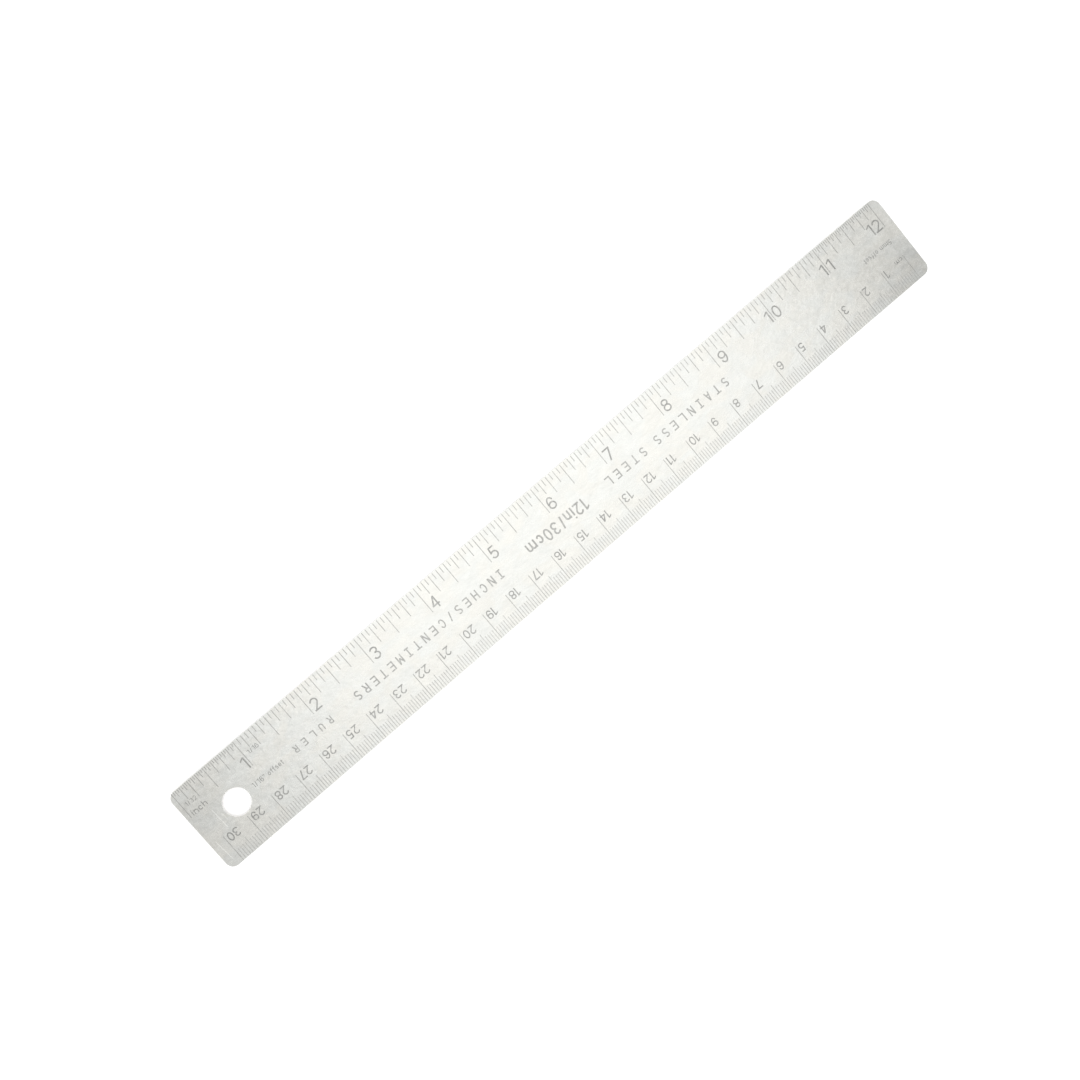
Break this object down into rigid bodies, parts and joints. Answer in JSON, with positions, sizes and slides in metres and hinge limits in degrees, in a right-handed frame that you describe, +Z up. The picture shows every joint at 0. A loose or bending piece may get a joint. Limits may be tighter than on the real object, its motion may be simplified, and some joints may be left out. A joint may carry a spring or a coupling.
{
  "type": "steel ruler",
  "caption": "Flexible steel ruler with inch and centimetre scales etched and enamelled on one face, a hang hole and a narrower cork backing.",
  "frame": {"origin": "middle of the ruler's outline, on the underside of the cork, which is the surface that the ruler rests on", "axes": "+X along the ruler, away from the end with the hang hole; +Y across it, towards the inch edge; +Z up, out of the marked face"},
  "size_m": [0.31, 0.0318, 0.0014],
  "materials": {
    "steel": "bright satin, fine grain along the length",
    "line_enamel": "matte",
    "figure_enamel": "matte",
    "adhesive": "satin",
    "cork": "matte granular cork"
  },
  "bodies": {
    "root": {"blade": "steel", "backing_adhesive": "adhesive", "cork_backing": "cork", "inch_lines": "line_enamel", "half_inch_lines": "line_enamel", "quarter_inch_lines": "line_enamel", "eighth_inch_lines": "line_enamel", "sixteenth_inch_lines": "line_enamel", "thirty_second_inch_lines": "line_enamel", "centimetre_lines": "line_enamel", "half_centimetre_lines": "line_enamel", "millimetre_lines": "line_enamel", "inch_numerals": "figure_enamel", "centimetre_numerals": "figure_enamel", "fraction_labels": "figure_enamel", "unit_labels": "figure_enamel", "offset_notes": "figure_enamel", "material_words": "figure_enamel", "unit_words": "figure_enamel", "size_note": "figure_enamel", "type_word": "figure_enamel"}
  },
  "joints": []
}
